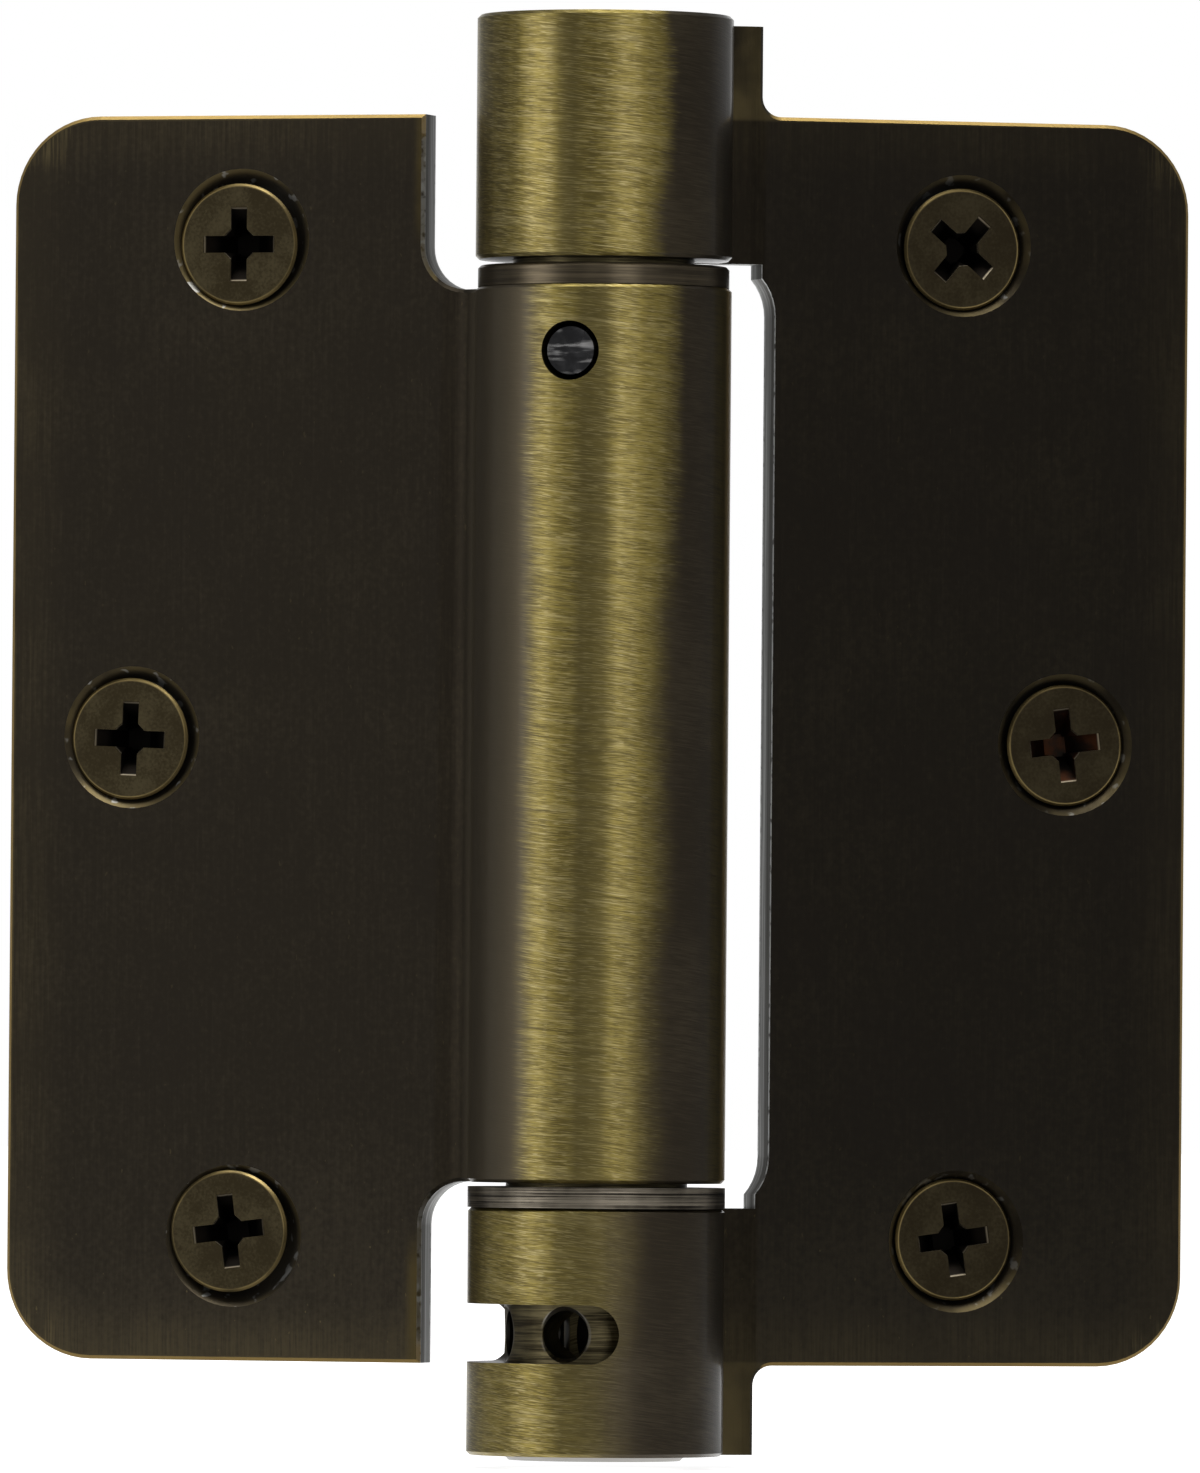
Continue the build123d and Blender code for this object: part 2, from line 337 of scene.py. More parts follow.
# where each tone comes in and goes out round a roll, in radians; warm, brightEdge, farSide and farEdge
# place painted light
rollTurns = {
    "goldStart": (-0.16, 0.12),
    "warm": ((0.95, 1.2), (1.4, 1.9)),
    "brightEdge": ((1.24, 1.34), (1.6, 1.9)),
    "farSide": (0.45, 0.7),
    "farEdge": (0.9, 1.25),
    "coat": (0.9, 1.15),
}
# how squarely a surface has to face a direction to count as what is named
leafFacing = {
    "endFace": (0.8, 0.9),
    "notchSide": (0.5, 0.75),
    "notchTop": (0.55, 0.8),
    "tilted": (0.3, 0.5),
    "front": (0.9, 0.95),
    "slant": ((0.45, 0.6), (0.75, 0.85)),
}


# In the functions below, above() on a noise sets how much of its marks shows, and a factor how strongly
class Leaf:
    # the places on a leaf and the noise of its marks, as wires
    def __init__(self, name, along, front):
        self.wearAndLight = leafWearAndLight[name]
        self.material, tree = newMaterial(name + "_plating")
        self.tree = tree
        self.place = tree.place()
        x, y, z = tree.split(self.place)
        self.z = z
        self.reach = tree.along(self.place, along)
        self.depth = tree.along(self.place, front)
        self.height = (z + leafTop) / (2 * leafTop)
        self.lowEnd = (-1 * z).above(*leafPlaces["lowEndHeight"])
        self.radius = (x * x + y * y) ** 0.5
        self.onRoll = 1 - self.radius.above(*leafPlaces["rollRadius"])
        self.turn = tree.along(self.place, acrossCamera).turnFrom(tree.along(self.place, towardCamera))
        self.frontal = tree.facing(front)
        self.inward = tree.facing(-along)
        self.upright = tree.facing((0, 0, 1)).abs()
        self.addMarks(x, y, z)

    def addMarks(self, x, y, z):
        # brush marks run up and down the flats and, a little slanted, round the rolls
        tree, marks = self.tree, leafMarks
        self.cloud = tree.noise(self.place, marks["cloud"], 4.0, 0.6)
        self.speck = tree.noise(self.place, marks["speck"], 2.0)
        self.chips = tree.noise(self.place, marks["chips"], 2.0)
        self.glint = tree.noise(self.place, marks["glint"], 2.0)
        self.flatGrain = tree.streaks((self.reach, self.depth, z), marks["flatGrain"], 3.0, 0.6)
        self.nicks = tree.streaks((self.reach, self.depth, z), marks["nicks"], 2.0)
        self.cutLines = tree.streaks((self.depth, self.reach, z), marks["cutLines"], 2.0)
        wave = tree.noise(self.place, marks["wave"], 1.0) * leafLook["brushWave"]
        slanted = z + self.turn * (rollRadius * leafLook["brushTilt"]) + wave
        self.rollGrain = tree.streaks((x, y, slanted), marks["rollGrain"], 3.0, 0.6)
        self.rollFine = tree.streaks((x, y, slanted), marks["rollFine"], 1.0)
        self.rollScratch = tree.streaks((x, y, slanted), marks["rollScratch"], 2.0, 0.6)
        self.rollDrift = tree.streaks((x, y, slanted), marks["rollDrift"], 3.0, 0.6)
        self.rollStripes = tree.streaks((x, y, z), marks["rollStripes"], 3.0, 0.6)
        self.ragged = (self.rollGrain - 0.5) * 0.16 + (self.rollScratch - 0.5) * 0.2
        self.ragged = self.ragged + (self.cloud - 0.5) * 0.45


def flatColour(leaf):
    # nearly black, lighter and more golden along the lower end
    marks = leaf.flatGrain * 0.3 + leaf.cloud * 0.3 + leaf.speck * 0.4 + leaf.lowEnd * 0.2
    return leaf.tree.mix(marks.above(0.42, 0.82), leafLook["flat"], leafLook["flatLight"])


def rollPatinaAndLight(leaf):
    # rolls: dark patina, with painted light where the leaf has it: a warm stretch and a bright edge as
    # painted reflection on the camera's right, and a lighter far side on its left
    tree, wearAndLight, turn = leaf.tree, leaf.wearAndLight, leaf.turn
    grain = (leaf.rollGrain * 0.5 + leaf.cloud * 0.5).above(0.4, 0.75)
    colour = tree.mix(grain, leafLook["patina"], leafLook["patinaLight"])
    warm = turn.within(*rollTurns["warm"]) * leaf.rollGrain.above(0.2, 0.6) * wearAndLight["warmEdge"]
    brightEdge = turn.within(*rollTurns["brightEdge"]) * wearAndLight["warmEdge"] * 0.8
    back = -1 * turn
    farSide = back.above(*rollTurns["farSide"]) * 0.72 + back.above(*rollTurns["farEdge"]) * 0.28
    masks = [(warm, "goldDark"), (brightEdge, "outline"), (farSide * wearAndLight["farSide"], "patinaFar")]
    return tree.layers(colour, leafLook, masks)


def goldWearAndReflection(leaf):
    # where a roll turns gold, partly brushed-through wear and partly painted reflection on its side
    # towards the camera, ragged at both sides and not on the end faces
    wearAndLight, turn, height = leaf.wearAndLight, leaf.turn, leaf.height
    start = between(height, radians(wearAndLight["startBottom"]), radians(wearAndLight["startTop"]))
    end = between(height, radians(wearAndLight["endBottom"]), radians(wearAndLight["endTop"]))
    begun = (turn + leaf.ragged * 0.6 - start).above(*rollTurns["goldStart"])
    past = (turn + leaf.ragged - end) / (0.1 + (1 - height) * wearAndLight["soft"])
    sides = 1 - leaf.upright.above(*leafFacing["endFace"])
    return begun * (1 - past.above(-1, 1)) * leaf.onRoll * sides


def paintedShadeStrip(leaf):
    # a darker strip of painted shade across the gold, with values of its own on the lower part
    wearAndLight, upper = leaf.wearAndLight, leaf.height.above(0.6, 0.7)
    middle = between(upper, radians(wearAndLight["lowStrip"]), radians(wearAndLight["strip"]))
    width = between(upper, wearAndLight["lowStripWidth"], wearAndLight["stripWidth"])
    strip = 1 - ((leaf.turn - middle + leaf.ragged * 0.2).abs() - width).above(0, 0.13)
    return strip * between(upper, wearAndLight["lowStripShare"], 1)


def goldColour(leaf):
    # the gold, partly brushed wear and partly painted reflection, its strip of painted shade, then single
    # bright and dark marks, fainter on the strip
    tree, drift, scratch, fine = leaf.tree, leaf.rollDrift, leaf.rollScratch, leaf.rollFine
    strip = paintedShadeStrip(leaf)
    grain = (leaf.rollGrain * 0.7 + leaf.rollStripes * 0.3).above(0.38, 0.6)
    masks = [
        (leaf.cloud.above(0.4, 0.7) * 0.4, "goldDark"),
        (drift.above(0.5, 0.66) * 0.35, "goldDark"),
        ((1 - drift.above(0.34, 0.47)) * 0.22, "scratch"),
        (strip * 0.72, "strip"),
        (scratch.above(0.57, 0.7) * (0.55 - strip * 0.35), "scratch"),
        ((1 - scratch.above(0.3, 0.42)) * 0.55, "strip"),
        (fine.above(0.56, 0.66) * (0.55 - strip * 0.3), "scratch"),
        ((1 - fine.above(0.32, 0.43)) * (0.6 - strip * 0.3), "strip"),
    ]
    return tree.layers(tree.mix(grain, leafLook["goldDark"], leafLook["gold"]), leafLook, masks)


def fromCorner(leaf):
    # how far a place lies beyond the middle of its corner's arc, along the leaf and up it
    beside = (leaf.reach - (leafReach - cornerRadius)).atLeast(0)
    over = (leaf.z.abs() - (leafTop - cornerRadius)).atLeast(0)
    return beside, over


def insetFrom(beside, over):
    # distance in from the outline, up to the corners' radius
    return cornerRadius - (beside * beside + over * over) ** 0.5


def rubbedOutline(leaf):
    # rubbed through in a thin line round the outline, further in at the corners, and in nicks
    cloud, grain = leaf.cloud, leaf.flatGrain
    beside, over = fromCorner(leaf)
    inset = insetFrom(beside, over)
    line = (1 - inset.above(*leafPlaces["lineInset"])) * cloud.above(0.3, 0.6)
    corner = 1 - inset.above(*leafPlaces["cornerInset"])
    corner = corner * beside.above(*leafPlaces["cornerStart"]) * over.above(*leafPlaces["cornerStart"])
    patchy = cloud.above(0.3, 0.65) * (0.35 + grain.above(0.45, 0.62))
    band = (1 - inset.above(*leafPlaces["bandInset"])) * (0.06 + leaf.lowEnd * 0.08)
    band = band * (0.7 + cloud.above(0.35, 0.6) * grain.above(0.4, 0.62))
    rubbed = (line * 0.6).atLeast(corner * patchy * 0.7).atLeast(band)
    nicks = leaf.nicks.above(0.69, 0.75) * (0.12 + corner.atLeast(leaf.lowEnd) * 0.4)
    return rubbed.atLeast(nicks) * (1 - leaf.onRoll)


def notchFaces(leaf):
    # the sheared faces of the notches: those towards the axis and those at the necks' ends
    side = leaf.inward.above(*leafFacing["notchSide"]) * (1 - leaf.reach.above(*leafPlaces["notchEnd"]))
    top = leaf.upright.above(*leafFacing["notchTop"])
    top = top * (1 - leaf.z.abs().above(*leafPlaces["notchHeight"]))
    top = top * (1 - leaf.frontal.above(*leafFacing["tilted"]))
    return side.atLeast(top) * leaf.reach.above(*leafPlaces["notchStart"]) * (1 - leaf.onRoll)


def notchColour(leaf):
    # cut after plating: dull steel, darker in front, with painted highlights along its corners and on
    # lines
    tree, depth = leaf.tree, leaf.depth
    inBack = ((-1 * depth - faceBack) / sheet).above(0.3, 0.62)
    bright = (depth + faceBack).above(*leafPlaces["frontDepth"])
    bright = bright.atLeast((-1 * depth - faceBack - sheet).above(*leafPlaces["backDepth"]))
    bright = bright * leaf.chips.above(0.3, 0.5)
    bright = bright.atLeast(leaf.cutLines.above(0.5, 0.64) * (0.15 + inBack * 0.55))
    return tree.mix(bright, tree.mix(inBack, leafLook["cutFront"], leafLook["cut"]), leafLook["paintedHighlight"])


def besideNotch(leaf):
    # a rubbed band on the face, beside the notches
    band = leaf.frontal.above(*leafFacing["front"])
    band = band * leaf.reach.within(*leafPlaces["besideNotchReach"])
    band = band * leaf.z.abs().above(*leafPlaces["besideNotchHeight"]) * leaf.wearAndLight["farSide"]
    return band * (0.2 + leaf.cloud.above(0.35, 0.55) * 0.5)


def slantedFaces(leaf):
    # the countersinks' cones and the slant of the outline
    slant = leaf.frontal.within(*leafFacing["slant"]) * (1 - leaf.onRoll)
    return slant * leaf.reach.above(*leafPlaces["flatReach"])


def slantMasks(leaf, slant):
    # countersinks are lighter, rubbed near the face and carry painted glints in places; the outline is
    # rubbed bare
    rub = leaf.wearAndLight["rub"]
    inSink = slant * insetFrom(*fromCorner(leaf)).above(*leafPlaces["sinkInset"])
    rubbed = (leaf.depth + faceBack).above(*leafPlaces["slantDepth"]) * leaf.cloud.above(0.42, 0.6) * rub
    return [
        (inSink * (rub ** 2 * 0.8), "patinaFar"),
        (inSink * rubbed, "worn"),
        (inSink * leaf.glint.above(0.6, 0.68) * rub ** 2, "paintedHighlight"),
        ((slant - inSink) * (0.5 + leaf.cloud * 0.6), "outline"),
    ]


def leafPlating(name, along, front):
    leaf = Leaf(name, along, front)
    tree, wearAndLight, onRoll = leaf.tree, leaf.wearAndLight, leaf.onRoll
    gold, cut, slant = goldWearAndReflection(leaf), notchFaces(leaf), slantedFaces(leaf)
    colour = tree.mix(onRoll, flatColour(leaf), rollPatinaAndLight(leaf))
    colour = tree.mix(gold, colour, goldColour(leaf))
    colour = tree.mix(rubbedOutline(leaf), colour, leafLook["worn"])
    # painted shade: the flats are darkened by each leaf's shade, the knuckle leaf's much more than the
    # barrel leaf's
    shade = wearAndLight["shade"]
    colour = tree.mix(1 - onRoll, colour, (shade, shade, shade, 1), "MULTIPLY")
    # painted light: the inside corner of the neck is lighter than the flat, on the barrel leaf
    crease = (1 - onRoll) * (1 - leaf.radius.above(*leafPlaces["creaseRadius"]))
    colour = tree.mix(crease * wearAndLight["farSide"], colour, leafLook["crease"])
    colour = tree.mix(cut, colour, notchColour(leaf))
    colour = tree.mix(besideNotch(leaf), colour, leafLook["besideCut"])
    colour = tree.layers(colour, leafLook, slantMasks(leaf, slant))

    roughness = leafLook["flatRoughness"] + leaf.flatGrain * 0.1
    roughness = roughness + (leafLook["patinaRoughness"] - leafLook["flatRoughness"]) * onRoll
    roughness = roughness + (leafLook["goldRoughness"] - leafLook["patinaRoughness"]) * gold
    bare = cut.atLeast(leaf.reach.within(*leafPlaces["neckReach"])).atLeast(slant)
    coat = (1 - bare) * leafLook["lacquer"]
    coat = coat * (1 + onRoll * leaf.turn.above(*rollTurns["coat"]) * wearAndLight["edgeCoat"])
    rollMarks = (leaf.rollGrain * 0.6 + leaf.rollFine * 0.4) * onRoll
    grain = leaf.flatGrain * (1 - onRoll) + rollMarks + leaf.speck * 0.15
    tree.finish(
        Base_Color=colour,
        Metallic=1.0,
        Roughness=roughness,
        Coat_Weight=coat,
        Coat_Roughness=leafLook["lacquerRoughness"],
        Normal=tree.bump(grain, leafLook["flatBump"] + onRoll * leafLook["rollBump"]),
    )
    return leaf.material


dress(leafPlating("knuckle_leaf", rootAlong, rootFront), "knuckle_leaf")
dress(leafPlating("barrel_leaf", swungAlong, swungFront), "barrel_leaf")
print("leaves plated")

# Screw plating: brown flat heads with a gold rim, partly rubbed and partly a painted highlight, and a
# recess painted dark as shade
screwLook = {
    "head": (0.036, 0.028, 0.0148, 1),
    "headLight": (0.067, 0.0545, 0.0288, 1),
    "rim": (0.2739, 0.2054, 0.0846, 1),
    "recess": (0.0161, 0.0133, 0.0105, 1),
    "rust": (0.0553, 0.0202, 0.0091, 1),
    "deep": (0.003, 0.0026, 0.0022, 1),
    "recessEdge": (0.33, 0.28, 0.2, 1),
    "shaded": (0.008, 0.006, 0.0045, 1),
    "roughness": 0.38,
    "cloudSize": 420,
    "speckSize": 5000,
    "ringSize": 9000,
    "rimSize": 190,
    "bump": 0.2,
}
# in metres; an inset is from the head's radius, a depth is below the head's flat
screwSize = {
    "length": 0.019,
    "headRadius": 0.00435,
    "rimInset": (0.00028, 0.00016),
    "rimDepth": (0.0003, 0.0005),
    "recessRadius": 0.00275,
    "recessInset": 0.0003,
    "recessTaper": 0.87,
    "recessSoft": 0.0001,
    "recessDepth": (0.00002, 0.00006),
    "edgeDepth": (0.00008, 0.0002),
    "deepDepth": (0.0007, 0.0013),
}


def screwHead(screw, front):
    # middle of the head's flat, found from the point of the screw
    tip = min((v.co for v in nodes[screw].data.vertices), key=lambda co: co.dot(front))
    return Vector(tip) + front * screwSize["length"]


def recessColour(tree, below, cloud, rust):
    # the recess painted dark as shade, a painted highlight at its edge by the face, rust in one screw, and
    # black painted shade further down
    tone = tree.mix(cloud.above(0.35, 0.6) * rust, screwLook["recess"], screwLook["rust"])
    deep = below.above(*screwSize["deepDepth"]) * (1 - rust * 0.7)
    tone = tree.mix(deep, tone, screwLook["deep"])
    return tree.mix(below.above(*screwSize["edgeDepth"]), screwLook["recessEdge"], tone)


def screwPlating(screw, front, rust, shade):
    look, size = screwLook, screwSize
    material, tree = newMaterial(screw + "_plating")
    place = tree.place()
    fromHead = tree.vector("SUBTRACT", place, screwHead(screw, front))
    below = tree.along(fromHead, -front)
    radius = tree.vector("LENGTH", tree.vector("CROSS_PRODUCT", fromHead, front), None, 1)
    cloud = tree.noise(place, look["cloudSize"], 4.0, 0.6)
    speck = tree.noise(place, look["speckSize"], 2.0)
    rings = tree.noise(tree.join(radius * look["ringSize"], 0.0, 0.0), 1.0, 2.0)

    colour = tree.mix((cloud * 0.6 + speck * 0.4).above(0.38, 0.68), look["head"], look["headLight"])
    # painted shade: heads on the knuckle leaf are darkened towards shaded by their shade
    colour = tree.mix(shade, colour, look["shaded"])
    # the rim: gold, partly rubbed plating and partly a painted highlight
    rim = radius.above(*[size["headRadius"] - inset for inset in size["rimInset"]])
    rim = rim * (1 - below.above(*size["rimDepth"]))
    rim = rim * (0.3 + tree.noise(place, look["rimSize"], 2.0).above(0.42, 0.58) * 0.7)
    colour = tree.mix(rim * 0.9, colour, look["rim"])
    # the recess narrows downwards, well inside the head's cone
    recessWall = size["headRadius"] - size["recessInset"] - below * size["recessTaper"]
    inRecess = (recessWall.atMost(size["recessRadius"]) - radius).above(-size["recessSoft"], 0)
    inRecess = inRecess * below.above(*size["recessDepth"])
    colour = tree.mix(inRecess, colour, recessColour(tree, below, cloud, rust))
    tree.finish(
        Base_Color=colour,
        Metallic=1.0,
        Roughness=look["roughness"] + cloud * 0.15 - rim * 0.12,
        Normal=tree.bump(cloud * 0.4 + speck * 0.3 + rings * 0.3, look["bump"]),
    )
    return material


# Screw threads: a ridge that winds down the plain core to the point
threadLook = {
    "start": 0.0038,
    "end": 0.0184,
    "pitch": 0.0018,
    "core": 0.00155,
    "crest": 0.0022,
    "taperFrom": 0.014,
    "width": 0.0011,
    "crestShare": 0.15,  # of the width
    "sunk": 0.96,  # of the core's radius
    "fadeIn": 8,
    "fadeOut": 6,
    "leastFade": 0.15,
    "pointGain": 0.25,
    "stepsPerTurn": 36,
}


def threadProfile(share, down):
    # the ridge's section as pairs along the screw and out from its axis, fading at both ends
    look = threadLook
    taper = min(1, (screwSize["length"] - down) / (screwSize["length"] - look["taperFrom"]))
    fade = min(1, look["fadeIn"] * share, look["fadeOut"] * (1 - share) + look["leastFade"])
    core = look["core"] * taper
    crest = core + (look["crest"] - look["core"]) * fade * min(1, taper + look["pointGain"])
    half = look["width"] / 2 * fade
    flat, foot = half * look["crestShare"], core * look["sunk"]
    return (-half, foot), (-flat, crest), (flat, crest), (half, foot)


def screwThread(screw, front, material):
    look = threadLook
    head, back = screwHead(screw, front), -front
    side = Vector((0, 0, 1))
    across = back.cross(side)
    turns = (look["end"] - look["start"]) / look["pitch"]
    steps = round(turns * look["stepsPerTurn"])
    mesh = bmesh.new()
    rings = []
    for i in range(steps + 1):
        share = i / steps
        down = look["start"] + share * (look["end"] - look["start"])
        angle = tau * turns * share
        out = side * cos(angle) + across * sin(angle)
        profile = threadProfile(share, down)
        rings.append([mesh.verts.new(head + back * (down + a) + out * b) for a, b in profile])
    for last, ring in zip(rings, rings[1:]):
        for a in range(4):
            b = (a + 1) % 4
            mesh.faces.new((last[a], last[b], ring[b], ring[a]))
    mesh.faces.new(rings[0])
    mesh.faces.new(rings[-1])
    bmesh.ops.recalc_face_normals(mesh, faces=mesh.faces)
    data = bpy.data.meshes.new(screw + "_thread")
    mesh.to_mesh(data)
    mesh.free()
    thread = bpy.data.objects.new(screw + "_thread", data)
    bpy.context.collection.objects.link(thread)
    data.materials.append(material)
    return thread


# body, front and painted shade of each leaf's screws
screwSets = {
    "knuckle": ("knuckle_leaf", rootFront, 0.48),
    "barrel": ("barrel_leaf", swungFront, 0.0),
}
rustyScrew = "knuckle_middle_screw"
for side, (body, front, shade) in screwSets.items():
    for level in ("top", "middle", "bottom"):
        screw = f"{side}_{level}_screw"
        rust = 1.0 if screw == rustyScrew else 0.0
        plating = screwPlating(screw, front, rust, shade)
        dress(plating, screw)
        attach(screwThread(screw, front, plating), body)
print("screws plated and threaded")

# Turned steel: fine rings round the swing axis, stained in bands
ringsUp, ringsOut = 9000, 7000  # changes a metre up the sides and out across the end faces
bandSpread, bandStep = 0.3, 0.25  # the bands' changes as shares of the rings', round and across
steelCloud = 260
holeRadius = 0.0017


def markHoles(tree, colour, holes, cloud):
    # a painted highlight round the rim where a hole breaks the surface, and painted shade, black, inside
    # it
    x, y, z = tree.split(tree.place())
    apart = tau / holes["count"]
    share = ((y.turnFrom(x) - radians(holes["first"])) / apart + 0.5).fraction()
    aside = (share - 0.5) * (apart * holes["surface"])
    up = z - holes["height"]
    fromHole = (aside * aside + up * up) ** 0.5
    holeHighlight = (1 - fromHole.above(*holes["holeHighlightEnd"])) * cloud.above(0.4, 0.6)
    inside = (1 - fromHole.above(*holes["holeEnd"])) * (1 - ((x * x + y * y) ** 0.5).above(*holes["wall"]))
    return tree.layers(colour, holes, [(holeHighlight, "holeHighlightColour"), (inside, "inside")])


def turnedSteel(name, look, holes=None):
    material, tree = newMaterial(name)
    place = tree.place()
    x, y, z = tree.split(place)
    step = z * ringsUp + (x * x + y * y) ** 0.5 * ringsOut
    spread = look["spread"]
    rings = tree.streaks((x, y, step), (spread, spread, 1), 3.0, 0.65)
    bandSizes = (spread * bandSpread, spread * bandSpread, bandStep)
    band = tree.streaks((x, y, step), bandSizes, 3.0, 0.6)
    cloud = tree.noise(place, steelCloud, 3.0, 0.6)
    tone = (rings * 0.45 + band * 0.3 + cloud * 0.25).above(look["from"], look["to"])
    colour = tree.mix(tone, look["dark"], look["light"])
    if holes:
        colour = markHoles(tree, colour, holes, cloud)
    tree.finish(
        Base_Color=colour,
        Metallic=1.0,
        Roughness=look["roughness"] + cloud * 0.12,
        Normal=tree.bump(rings, look["grain"]),
    )
    return material


coreLook = {
    "spread": 260,
    "dark": (0.0226, 0.0181, 0.0101, 1),
    "light": (0.151, 0.1259, 0.0655, 1),
    "from": 0.38,
    "to": 0.64,
    "roughness": 0.3,
    "grain": 0.3,
}
coreHoles = {
    "surface": coreRadius,
    "height": -0.0422,
    "first": 232.2,
    "count": 6,
    "holeHighlightEnd": (holeRadius + 0.0002, holeRadius + 0.0003),
    "holeEnd": (holeRadius + 0.0002, holeRadius + 0.0004),
    "wall": (coreRadius - 0.0004, coreRadius - 0.0003),
    "holeHighlightColour": (0.151, 0.141, 0.1208, 1),
    "inside": (0.004, 0.0036, 0.003, 1),
}
ringLook = {
    "spread": 160,
    "dark": (0.046, 0.038, 0.0265, 1),
    "light": (0.135, 0.109, 0.071, 1),
    "from": 0.35,
    "to": 0.7,
    "roughness": 0.25,
    "grain": 0.15,
}
washerLook = {
    "spread": 45,
    "dark": (0.0209, 0.0178, 0.0142, 1),
    "light": (0.245, 0.214, 0.166, 1),
    "from": 0.42,
    "to": 0.6,
    "roughness": 0.27,
    "grain": 0.6,
}
plugLook = {
    "spread": 260,
    "dark": (0.3777, 0.3625, 0.3424, 1),
    "light": (0.4633, 0.4532, 0.4331, 1),
    "from": 0.35,
    "to": 0.6,
    "roughness": 0.3,
    "grain": 0.2,
}
springLook = {
    "spread": 260,
    "dark": (0.0353, 0.0333, 0.0322, 1),
    "light": (0.1107, 0.1007, 0.0956, 1),
    "from": 0.35,
    "to": 0.65,
    "roughness": 0.35,
    "grain": 0.2,
    "coilEnd": 0.012,
}
dress(turnedSteel("corePlating", coreLook, coreHoles), "tension_adjuster")
dress(turnedSteel("pivotPlating", coreLook), "pivot_plug")
dress(turnedSteel("ringSteel", ringLook), "bearing_ring")
dress(turnedSteel("washerSteel", washerLook), *[f"thrust_washer_{i}" for i in (1, 2, 3, 4)])
dress(turnedSteel("plugSteel", plugLook), "end_plug")
dress(turnedSteel("springSteel", springLook), "torsion_spring")


def addSpring():
    # a copy of the coils, standing in for the spring part, which is hidden
    spring = bpy.data.objects.new("wound_spring", nodes["torsion_spring"].data.copy())
    bpy.context.collection.objects.link(spring)
    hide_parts("torsion_spring")
    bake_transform(spring)


addSpring()

# Anchor pin: black and glossy, with dents and grey streaks of painted highlight
pinLook = {
    "black": (0.0403, 0.0403, 0.0419, 1),
    "grey": (0.3525, 0.3474, 0.3424, 1),
    "roughness": 0.2,
    "dentSize": 520,
    "dentBump": 0.6,
    "dentDepth": 0.0004,
    "streakSizes": (260, 260, 1900),
}


def anchorBlack():
    material, tree = newMaterial("anchorBlack")
    place = tree.place()
    dents = tree.noise(place, pinLook["dentSize"], 2.0, 0.45)
    streaks = tree.streaks(tree.split(place), pinLook["streakSizes"], 3.0, 0.55)
    shine = (streaks * 0.7 + dents * 0.3).above(0.5, 0.6)
    tree.finish(
        Base_Color=tree.mix(shine, pinLook["black"], pinLook["grey"]),
        Metallic=1.0,
        Roughness=pinLook["roughness"] + dents * 0.15,
        Normal=tree.bump(dents, pinLook["dentBump"], pinLook["dentDepth"]),
    )
    return material


dress(anchorBlack(), "anchor_pin")
print("inner pieces finished")

# Camera: a long lens a little below the middle of the leaves, in metres and degrees
shot = {
    "distance": 1.3308,
    "azimuth": -17.962,
    "height": -0.02207,
    "pitch": 0.956,
    "roll": 0.465,
    "focalPixels": 18772,
    "imageWidth": 1200,
    "sensorWidth": 36,
    "clipEnd": 50,
}


def addCamera():
    turn, pitch, roll = radians(shot["azimuth"]), radians(shot["pitch"]), radians(shot["roll"])
    eye = Vector((sin(turn), -cos(turn), 0)) * shot["distance"] + Vector((0, 0, shot["height"]))
    ahead = Vector((-sin(turn) * cos(pitch), cos(turn) * cos(pitch), sin(pitch)))
    right = Vector((cos(turn), sin(turn), 0))
    up = right.cross(ahead)
    tiltedRight = right * cos(roll) + up * sin(roll)
    tiltedUp = up * cos(roll) - right * sin(roll)
    data = bpy.data.cameras.new("productCamera")
    data.sensor_fit = "HORIZONTAL"
    data.sensor_width = shot["sensorWidth"]
    data.lens = shot["focalPixels"] * shot["sensorWidth"] / shot["imageWidth"]
    data.clip_end = shot["clipEnd"]
    camera = bpy.data.objects.new("productCamera", data)
    bpy.context.collection.objects.link(camera)
    turned = Matrix((tiltedRight, tiltedUp, -ahead)).transposed().to_4x4()
    camera.matrix_world = Matrix.Translation(eye) @ turned
    bpy.context.scene.camera = camera


addCamera()
print("camera placed")

# Light: soft boxes at the side, in front and above, a white backdrop behind, and dim grey elsewhere;
# a box's turn is in degrees round the part, from the camera's side
softBoxes = {
    "sideBox": {"turn": -62, "distance": 0.9, "width": 0.5, "height": 1.3, "rise": -0.2, "glow": 2.45},
    "frontBox": {"turn": 20, "distance": 1.0, "width": 0.42, "height": 0.9, "rise": 0.4, "glow": 2.05},
    "topBox": {"turn": 0, "distance": 0.3, "width": 1.2, "height": 0.6, "rise": 1.1, "glow": 7.0},
}
studio = {
    "white": (1, 1, 1, 1),
    "backdropEdge": (0.84, 0.98),
    "ambient": 0.28,
    "floorSize": 8,
    "floorGap": 0.0006,
    "floorGrey": (0.55, 0.55, 0.55, 1),
    "floorGlow": 0.88,
    "farGlow": 0.15,
    "farFrom": (0.15, 0.7),
    "underPart": (0.01, 0.014),
}


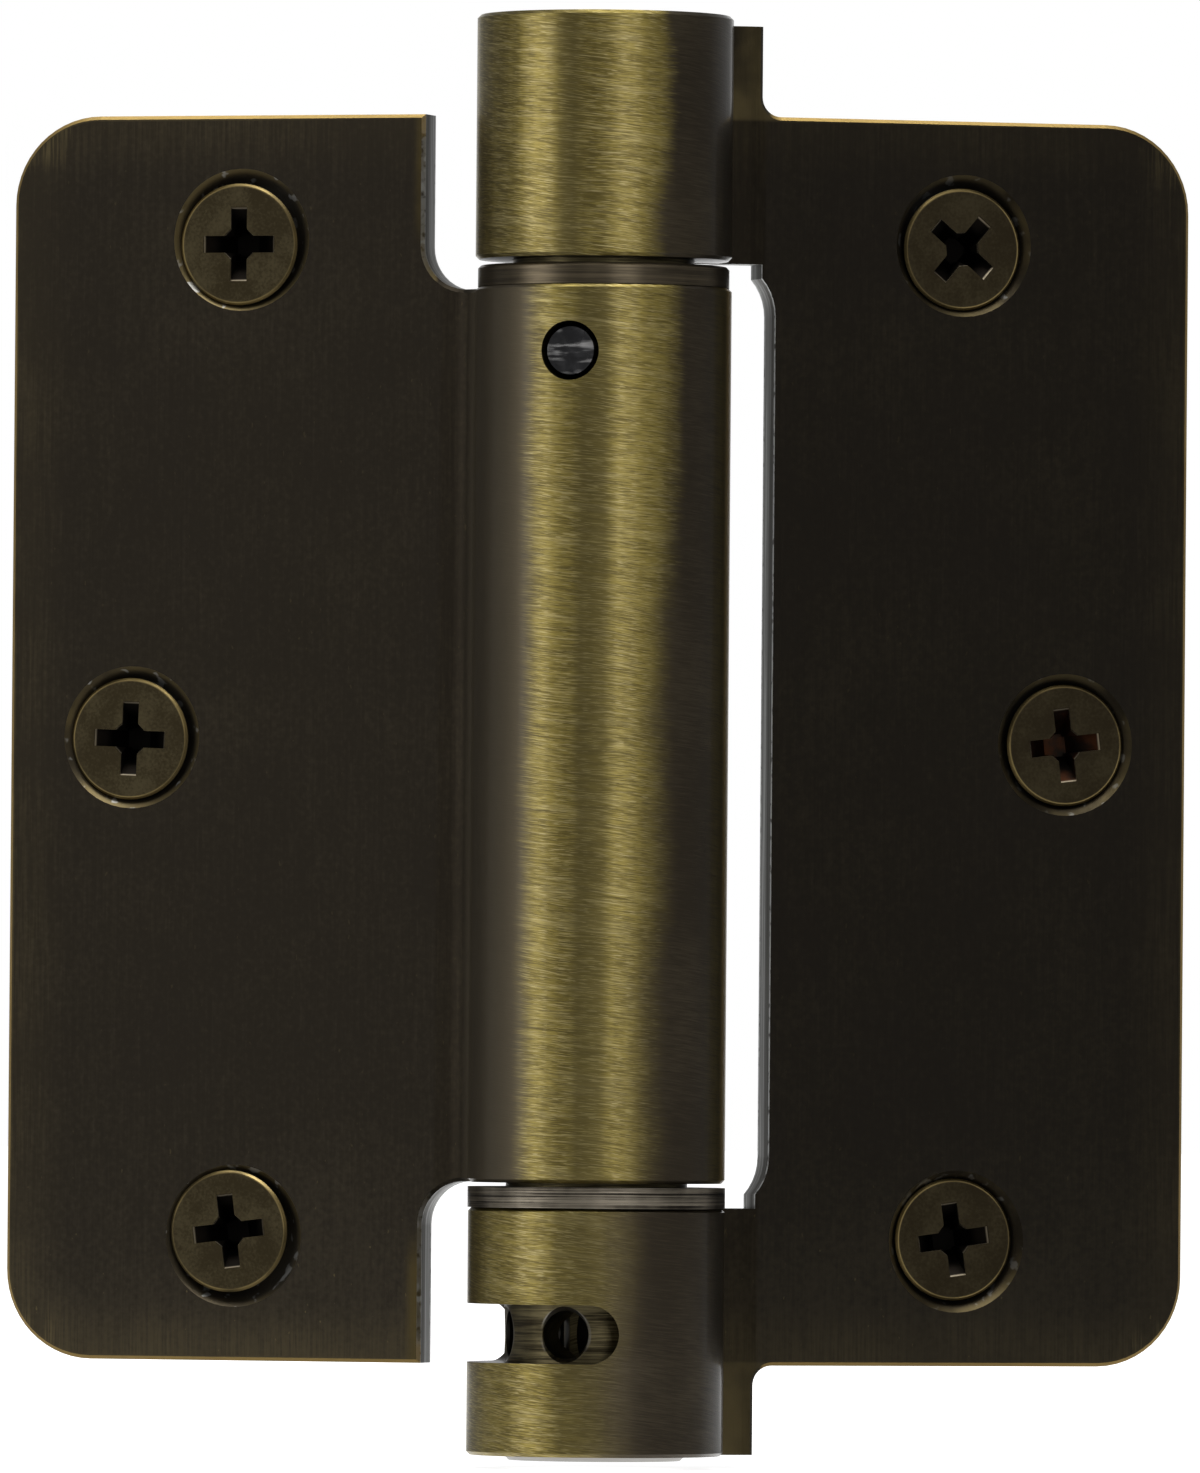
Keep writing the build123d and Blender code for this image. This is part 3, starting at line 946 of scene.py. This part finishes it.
def addSoftBox(name, box):
    turn = radians(shot["azimuth"] + box["turn"])
    place = Vector((sin(turn), -cos(turn), 0)) * box["distance"] + Vector((0, 0, box["rise"]))
    data = bpy.data.lights.new(name, "AREA")
    data.shape = "RECTANGLE"
    data.size = box["width"]
    data.size_y = box["height"]
    data.energy = box["glow"] * pi * box["width"] * box["height"]
    light = bpy.data.objects.new(name, data)
    light.location = place
    light.rotation_euler = (-place).to_track_quat("-Z", "Y").to_euler()
    bpy.context.collection.objects.link(light)


for name, box in softBoxes.items():
    addSoftBox(name, box)


def addBackdrop():
    world = bpy.data.worlds.new("studioWorld")
    bpy.context.scene.world = world
    tree = Tree(world)
    turn = radians(shot["azimuth"])
    away = (-sin(turn), cos(turn), 0)
    direction = tree.node("TexCoord", {}, {}, 0)
    behind = tree.along(direction, away).above(*studio["backdropEdge"])
    seen = tree.lightPath("Is Camera Ray").atLeast(behind * tree.lightPath("Is Glossy Ray"))
    seen = seen.atLeast(behind * tree.lightPath("Is Transmission Ray"))
    glow = seen.atLeast(studio["ambient"])
    background = tree.node("Background", {}, {"Color": studio["white"], "Strength": glow})
    tree.node("OutputWorld", {}, {"Surface": background})


addBackdrop()


def paleGround():
    # white for the camera, and in reflections only behind the part and right under it
    material, tree = newMaterial("paleFloor")
    place = tree.place()
    x, y, z = tree.split(place)
    distance = (x * x + y * y) ** 0.5
    behind = (tree.along(place, -towardCamera) / distance).above(*studio["backdropEdge"])
    under = 1 - distance.above(*studio["underPart"])
    glossy = tree.lightPath("Is Glossy Ray").atLeast(tree.lightPath("Is Transmission Ray"))
    seen = tree.lightPath("Is Camera Ray").atLeast(glossy * behind.atLeast(under))
    strength = seen * (studio["floorGlow"] + distance.above(*studio["farFrom"]) * studio["farGlow"])
    glow = tree.node("Emission", {}, {"Color": studio["white"], "Strength": strength})
    matt = tree.node("BsdfDiffuse", {}, {"Color": studio["floorGrey"]})
    both = tree.node("AddShader", {}, {0: glow, 1: matt})
    tree.node("OutputMaterial", {}, {"Surface": both})
    return material


def addFloor():
    height = lowest - studio["floorGap"]
    bpy.ops.mesh.primitive_plane_add(size=studio["floorSize"], location=(0, 0, height))
    floor = bpy.context.object
    floor.name = "paleFloor"
    floor.data.materials.append(paleGround())


addFloor()
bpy.context.scene.view_settings.view_transform = "Standard"
print("studio set")
